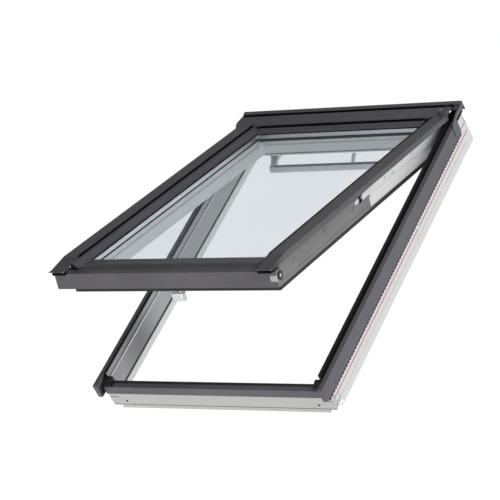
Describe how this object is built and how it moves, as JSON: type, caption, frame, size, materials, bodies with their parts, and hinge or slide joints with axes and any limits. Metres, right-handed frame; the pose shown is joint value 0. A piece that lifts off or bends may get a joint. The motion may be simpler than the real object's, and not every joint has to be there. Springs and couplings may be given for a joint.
{
  "type": "roof window",
  "caption": "Top-hung opening roof window with its white frame, double-glazed sash on lifting arms, dark folded metal covers, control bar and bottom handle.",
  "frame": {"origin": "under the middle of the window's overall box, in the plane of the frame's back face", "axes": "+X across the window to the right seen from outside and below, +Y up the roof slope, +Z straight out of the roof"},
  "size_m": [0.807, 1.202, 0.5262],
  "materials": {
    "white_polyurethane": "smooth satin lacquer",
    "cover_metal": "matt dark grey lacquer on folded sheet",
    "liner_metal": "satin grey lacquer",
    "rubber": "matt black",
    "bearing_plastic": "matt black",
    "steel": "zinc plated",
    "arm_metal": "zinc plated, slightly dull",
    "plate_metal": "satin mid grey",
    "glass": "clear float glass",
    "spacer_metal": "bright mill finish",
    "bracket_white": "satin",
    "bar_metal": "satin anodised",
    "handle_metal": "satin anodised"
  },
  "bodies": {
    "frame": {"frame_bottom": "white_polyurethane", "frame_top": "white_polyurethane", "frame_side_left": "white_polyurethane", "frame_side_right": "white_polyurethane", "front_strip": "white_polyurethane", "liner_left": "liner_metal", "liner_right": "liner_metal", "liner_seals": "rubber", "frame_gasket": "rubber", "frame_cover_left": "cover_metal", "frame_cover_right": "cover_metal", "frame_cover_bottom": "cover_metal", "corner_plug_left": "rubber", "corner_plug_right": "rubber", "top_casing": "cover_metal", "casing_end_left": "cover_metal", "casing_end_right": "cover_metal", "casing_packer": "white_polyurethane", "hinge_bracket_left": "cover_metal", "hinge_bracket_right": "cover_metal", "hinge_pin_left": "steel", "hinge_pin_right": "steel", "strikers": "white_polyurethane", "cover_screws": "steel"},
    "arms": {"arm_left": "arm_metal", "arm_right": "arm_metal", "hinge_plate": "cover_metal", "upper_cover_left": "cover_metal", "upper_cover_right": "cover_metal", "pivot_pad_left": "bearing_plastic", "pivot_pad_right": "bearing_plastic"},
    "sash": {"sash_bottom": "white_polyurethane", "sash_top": "white_polyurethane", "sash_side_left": "white_polyurethane", "sash_side_right": "white_polyurethane", "inner_pane": "glass", "spacer": "spacer_metal", "outer_pane": "glass", "glazing_seal": "rubber", "lower_cover_left": "cover_metal", "lower_cover_right": "cover_metal", "cover_tail_left": "cover_metal", "cover_tail_right": "cover_metal", "sash_bottom_cover": "cover_metal", "sash_top_cover": "cover_metal", "corner_clip": "steel", "side_plate_left": "plate_metal", "side_plate_right": "plate_metal", "bolt_bush_left": "bearing_plastic", "bolt_bush_right": "bearing_plastic", "sash_gasket": "rubber", "sash_top_cap": "rubber", "lock_case": "handle_metal", "bar_brackets": "bracket_white", "handle_base": "handle_metal"},
    "control_bar": {"control_bar": "bar_metal"},
    "handle": {"handle_grip": "handle_metal"},
    "bolt_left": {"barrel_bolt_left": "steel"},
    "bolt_right": {"barrel_bolt_right": "steel"}
  },
  "joints": [
    {"name": "top_hinge", "type": "hinge", "parent": "frame", "child": "arms", "pos_m": [0, 0.5346, 0.1206], "axis": [-1, 0, 0], "range_deg": [-20.2, 24.8]},
    {"name": "cleaning_pivot", "type": "hinge", "parent": "arms", "child": "sash", "pos_m": [0, 0.03329, 0.33584], "axis": [-1, 0, 0], "range_deg": [0, 150]},
    {"name": "bar_hinge", "type": "hinge", "parent": "sash", "child": "control_bar", "pos_m": [0, 0.46123, 0.06598], "axis": [-1, 0, 0], "range_deg": [0, 30]},
    {"name": "handle_turn", "type": "hinge", "parent": "sash", "child": "handle", "pos_m": [-0.002, -0.47826, 0.39353], "axis": [0, -0.3453, -0.9385], "range_deg": [0, 90]},
    {"name": "bolt_slide_left", "type": "slide", "parent": "sash", "child": "bolt_left", "axis": [-1, 0, 0], "range_m": [0, 0.007]},
    {"name": "bolt_slide_right", "type": "slide", "parent": "sash", "child": "bolt_right", "axis": [1, 0, 0], "range_m": [0, 0.007]}
  ]
}
